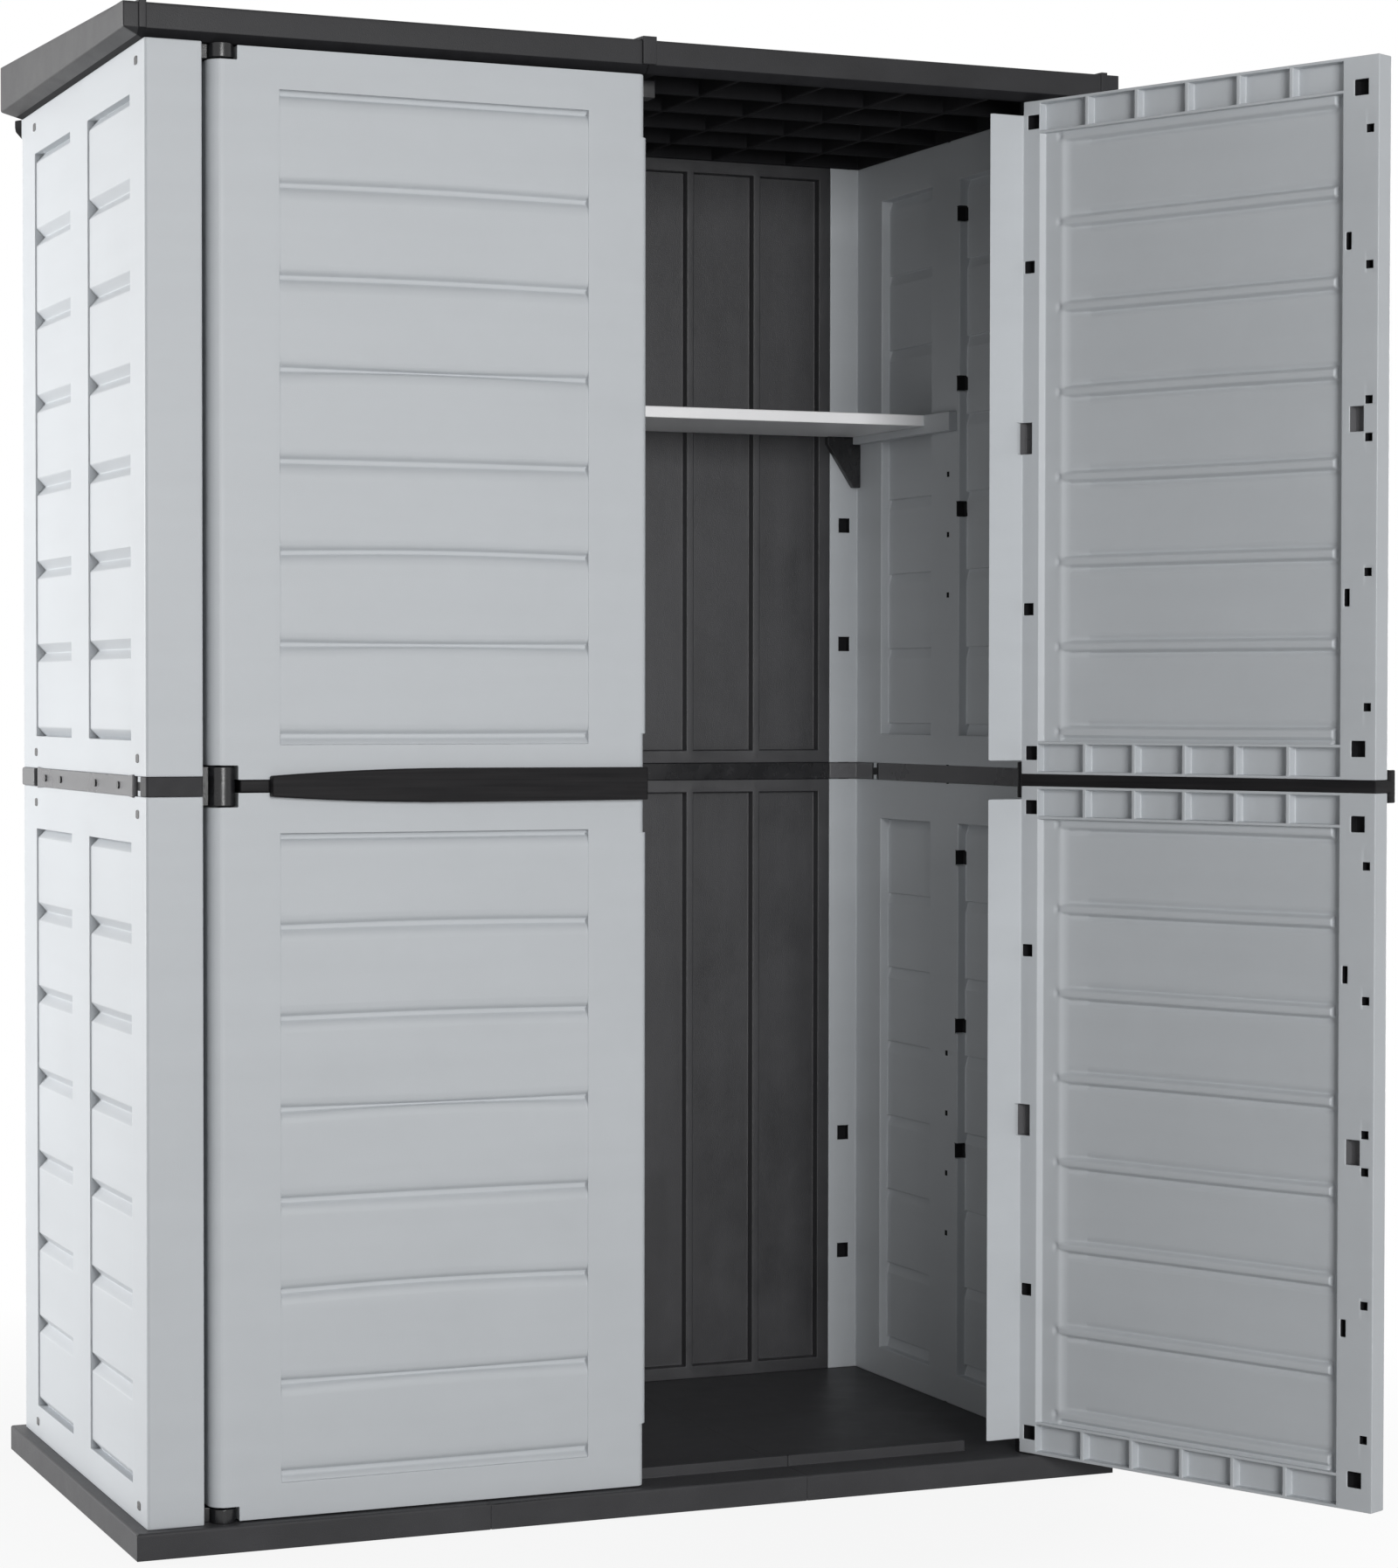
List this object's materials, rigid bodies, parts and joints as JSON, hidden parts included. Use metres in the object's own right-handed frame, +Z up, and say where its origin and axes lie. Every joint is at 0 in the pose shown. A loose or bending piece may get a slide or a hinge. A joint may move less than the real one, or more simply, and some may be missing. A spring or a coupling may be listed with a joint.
{
  "type": "garden storage cabinet",
  "caption": "Tall free-standing garden storage cabinet in double-wall plastic panels, with a sloping lid, a ribbed floor, a shelf and two hinged doors with a mid-height handle rail.",
  "frame": {"origin": "middle of the underside of the base, between the side walls and between the front and rear faces of the body", "axes": "+Z up, the doors face -Y, +X to the right of someone facing the doors"},
  "size_m": [1.5727, 1.2684, 2.0215],
  "materials": {
    "wall_panel": "moulded, fine grain, satin",
    "lid_and_floor": "moulded, fine grain, matt charcoal",
    "grey_band": "moulded, satin mid grey",
    "back_panel": "moulded, matt dark grey",
    "shelf": "smooth white board",
    "screw": "black coated steel",
    "black_trim": "moulded, satin black"
  },
  "bodies": {
    "cabinet": {"back_band": "black_trim", "back_panel_lower_left": "back_panel", "back_panel_lower_right": "back_panel", "back_panel_upper_left": "back_panel", "back_panel_upper_right": "back_panel", "band_clips_left": "black_trim", "band_clips_right": "black_trim", "band_screws_left": "screw", "band_screws_right": "screw", "door_catch": "black_trim", "floor_left": "lid_and_floor", "floor_middle": "lid_and_floor", "floor_right": "lid_and_floor", "front_corner_band_left": "black_trim", "front_corner_band_right": "black_trim", "hinge_block_bottom_left": "black_trim", "hinge_block_bottom_right": "black_trim", "hinge_block_mid_left": "black_trim", "hinge_block_mid_right": "black_trim", "hinge_block_top_left": "black_trim", "hinge_block_top_right": "black_trim", "panel_pins_left": "black_trim", "panel_pins_right": "black_trim", "rear_corner_band_left": "black_trim", "rear_corner_band_right": "black_trim", "roof_joint": "lid_and_floor", "roof_left": "lid_and_floor", "roof_right": "lid_and_floor", "shelf": "shelf", "shelf_gusset_left": "black_trim", "shelf_gusset_right": "black_trim", "shelf_rail_left": "grey_band", "shelf_rail_right": "grey_band", "side_band_left": "grey_band", "side_band_right": "grey_band", "side_panel_lower_left": "wall_panel", "side_panel_lower_right": "wall_panel", "side_panel_upper_left": "wall_panel", "side_panel_upper_right": "wall_panel"},
    "left_door": {"door_panel_lower_left": "wall_panel", "door_panel_upper_left": "wall_panel", "handle_rail_left": "black_trim"},
    "right_door": {"door_panel_lower_right": "wall_panel", "door_panel_upper_right": "wall_panel", "handle_rail_right": "black_trim"}
  },
  "joints": [
    {"name": "left_door_hinge", "type": "hinge", "parent": "cabinet", "child": "left_door", "pos_m": [-0.587, -0.3485, 0.988], "axis": [0, 0, -1], "range_deg": [0, 125]},
    {"name": "right_door_hinge", "type": "hinge", "parent": "cabinet", "child": "right_door", "pos_m": [0.587, -0.3485, 0.988], "axis": [0, 0, 1], "range_deg": [-114.5, 10.5]}
  ]
}
